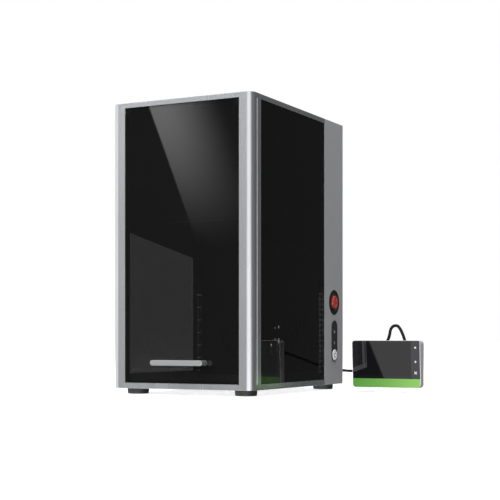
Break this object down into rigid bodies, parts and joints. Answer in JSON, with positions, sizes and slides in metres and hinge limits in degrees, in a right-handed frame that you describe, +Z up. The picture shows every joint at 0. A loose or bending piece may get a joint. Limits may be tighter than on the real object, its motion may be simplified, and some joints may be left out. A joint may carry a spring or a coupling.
{
  "type": "desktop laser cutter",
  "caption": "Tall enclosed desktop laser cutter with a lift-up smoked front door, smoked side windows, a lifting scan head and a wired touch controller.",
  "frame": {"origin": "bottom centre of the machine and its controller taken together, at bench level", "axes": "+Z up, -Y towards the door, +X towards the side that carries the stop switch and the controller"},
  "size_m": [0.494, 0.48, 0.5265],
  "materials": {
    "satin_aluminium": "satin anodised",
    "panel_black": "fine matt powder coat",
    "deck_grey": "satin",
    "bed_anodised": "black anodised",
    "tinted_glass": "dark smoke tint, polished",
    "handle_aluminium": "satin anodised",
    "pivot_black": "satin",
    "head_black": "fine matt",
    "steel": "ground",
    "bare_aluminium": "machined",
    "motor_black": "semi gloss",
    "brass": "machined",
    "mirror": "polished",
    "fan_plastic": "moulded",
    "supply_steel": "perforated sheet",
    "board_green": "solder mask",
    "inlet_plastic": "moulded",
    "pad_silicone": "translucent silicone",
    "foot_rubber": "satin moulded",
    "stop_black": "gloss",
    "stop_red": "gloss",
    "strip_black": "semi gloss",
    "power_white": "gloss",
    "lamp_white": "frosted",
    "controller_silver": "satin metallic",
    "controller_green": "semi gloss",
    "screen_black": "polished cover lens",
    "cable_black": "extruded jacket"
  },
  "bodies": {
    "root": {"base_pan": "satin_aluminium", "top_cover": "satin_aluminium", "front_post_left": "satin_aluminium", "front_post_right": "satin_aluminium", "side_window_left": "tinted_glass", "side_window_right": "tinted_glass", "scale_strip_left": "panel_black", "scale_strip_right": "panel_black", "cowl_cheek_left": "panel_black", "cowl_cheek_right": "panel_black", "rear_housing": "satin_aluminium", "rear_panel": "panel_black", "panel_screws": "steel", "feet": "foot_rubber", "hinge_pins": "steel", "deck_tray": "deck_grey", "bed_plate": "bed_anodised", "chamber_wall": "panel_black", "cowl_front": "panel_black", "cowl_ceiling": "panel_black", "chamber_lamp": "lamp_white", "guide_rods": "steel", "lift_brackets": "pivot_black", "rear_spine": "steel", "lift_motor": "motor_black", "exhaust_fan": "fan_plastic", "duct_collar": "fan_plastic", "power_supply": "supply_steel", "control_board": "board_green", "mains_inlet": "inlet_plastic", "cable_gland": "inlet_plastic", "stop_bezel": "stop_black", "control_strip": "strip_black", "controller_shell": "controller_silver", "controller_bar": "controller_green", "controller_glass": "screen_black", "controller_feet": "pad_silicone", "controller_plug": "inlet_plastic", "controller_cable": "cable_black"},
    "door": {"door_glass": "tinted_glass", "door_frame": "panel_black", "door_pivots": "pivot_black", "door_handle": "handle_aluminium"},
    "head": {"head_housing": "head_black", "lens_barrel": "motor_black", "camera_module": "head_black", "galvo_block": "bare_aluminium", "galvo_motors": "motor_black", "laser_source": "bare_aluminium", "head_carriage": "pivot_black", "linear_bearings": "steel", "lead_nut": "brass"},
    "mirror_x": {"galvo_mirror_x": "mirror"},
    "mirror_y": {"galvo_mirror_y": "mirror"},
    "screw": {"lead_screw": "steel"},
    "rotor": {"exhaust_rotor": "fan_plastic"},
    "plunger": {"stop_plunger": "stop_black"},
    "stop_knob": {"stop_button": "stop_red"},
    "power": {"power_button": "power_white"},
    "rocker": {"rocker_switch": "inlet_plastic"}
  },
  "joints": [
    {"name": "door_hinge", "type": "hinge", "parent": "root", "child": "door", "pos_m": [-0.1045, -0.2, 0.5103], "axis": [-1, 0, 0], "range_deg": [0, 95]},
    {"name": "head_lift", "type": "slide", "parent": "root", "child": "head", "axis": [0, 0, 1], "range_m": [0, 0.1]},
    {"name": "screw_turn", "type": "hinge", "parent": "root", "child": "screw", "pos_m": [-0.1045, 0.142, 0.4105], "axis": [0, 0, 1], "range_deg": [-10, 4510]},
    {"name": "scan_x", "type": "hinge", "parent": "head", "child": "mirror_x", "pos_m": [-0.1265, 0.002, 0.3225], "axis": [0, 0, 1], "range_deg": [-12, 12], "stiffness_Nm_per_rad": 0.002},
    {"name": "scan_y", "type": "hinge", "parent": "head", "child": "mirror_y", "pos_m": [-0.1045, 0.002, 0.3225], "axis": [0, 1, 0], "range_deg": [-12, 12], "stiffness_Nm_per_rad": 0.002},
    {"name": "exhaust_spin", "type": "hinge", "parent": "root", "child": "rotor", "pos_m": [-0.1045, 0.13, 0.1035], "axis": [0, 1, 0], "continuous": true},
    {"name": "stop_press", "type": "slide", "parent": "root", "child": "plunger", "axis": [-1, 0, 0], "range_m": [0, 0.003]},
    {"name": "stop_twist", "type": "hinge", "parent": "plunger", "child": "stop_knob", "pos_m": [0.038, 0.15, 0.1715], "axis": [-1, 0, 0], "range_deg": [0, 30], "stiffness_Nm_per_rad": 0.02},
    {"name": "power_press", "type": "slide", "parent": "root", "child": "power", "axis": [-1, 0, 0], "range_m": [0, 0.001], "stiffness_N_per_m": 600},
    {"name": "rocker_tip", "type": "hinge", "parent": "root", "child": "rocker", "pos_m": [-0.1755, 0.196, 0.0605], "axis": [-1, 0, 0], "range_deg": [0, 20]}
  ],
  "couplings": [
    {"joint": "screw_turn", "follows": "head_lift", "rad_per_m": 785.4}
  ]
}
